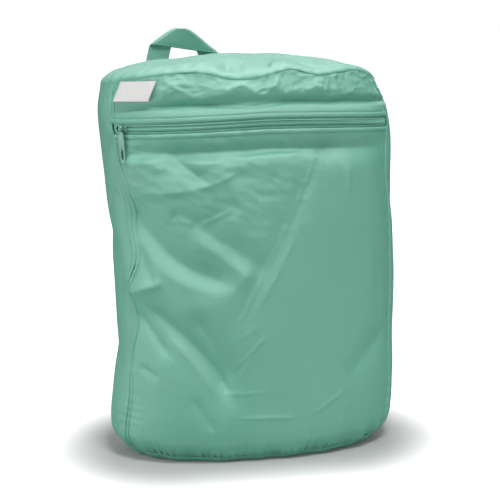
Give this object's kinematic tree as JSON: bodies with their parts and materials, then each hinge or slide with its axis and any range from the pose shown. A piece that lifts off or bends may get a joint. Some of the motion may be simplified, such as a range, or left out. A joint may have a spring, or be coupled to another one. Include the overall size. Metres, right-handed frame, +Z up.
{
  "type": "cloth diaper wet bag",
  "caption": "Soft upright cloth bag on an oval base, with a covered front zip, a hinged zip pull, a domed top and a strap loop.",
  "frame": {"origin": "middle of the flat base, on the surface that the bag stands on", "axes": "+Z up, -Y to the front with the zip, -X to the side with the label and the strap loop"},
  "size_m": [0.3205, 0.1622, 0.4513],
  "materials": {
    "body_cloth": "fine laminated polyester, soft satin sheen",
    "top_cloth": "fine laminated polyester, soft satin sheen",
    "strap_cloth": "folded and topstitched cloth",
    "zip_tape": "woven tape",
    "zip_coil": "moulded nylon coil",
    "zip_hardware": "enamelled, smooth",
    "label_satin": "white satin ribbon, bare"
  },
  "bodies": {
    "root": {"front_panel": "body_cloth", "side_back_panel": "body_cloth", "base_panel": "body_cloth", "zip_band": "top_cloth", "top_panel": "top_cloth", "handle_strap": "strap_cloth", "zip_tape_upper": "zip_tape", "zip_tape_lower": "zip_tape", "zip_chain": "zip_coil", "zip_slider": "zip_hardware", "label": "label_satin"},
    "pull": {"pull_tab": "zip_hardware"}
  },
  "joints": [
    {"name": "pull_lift", "type": "hinge", "parent": "root", "child": "pull", "pos_m": [-0.13955, -0.0443, 0.35208], "axis": [-0.7566, 0.6531, -0.0336], "range_deg": [0, 150]}
  ]
}
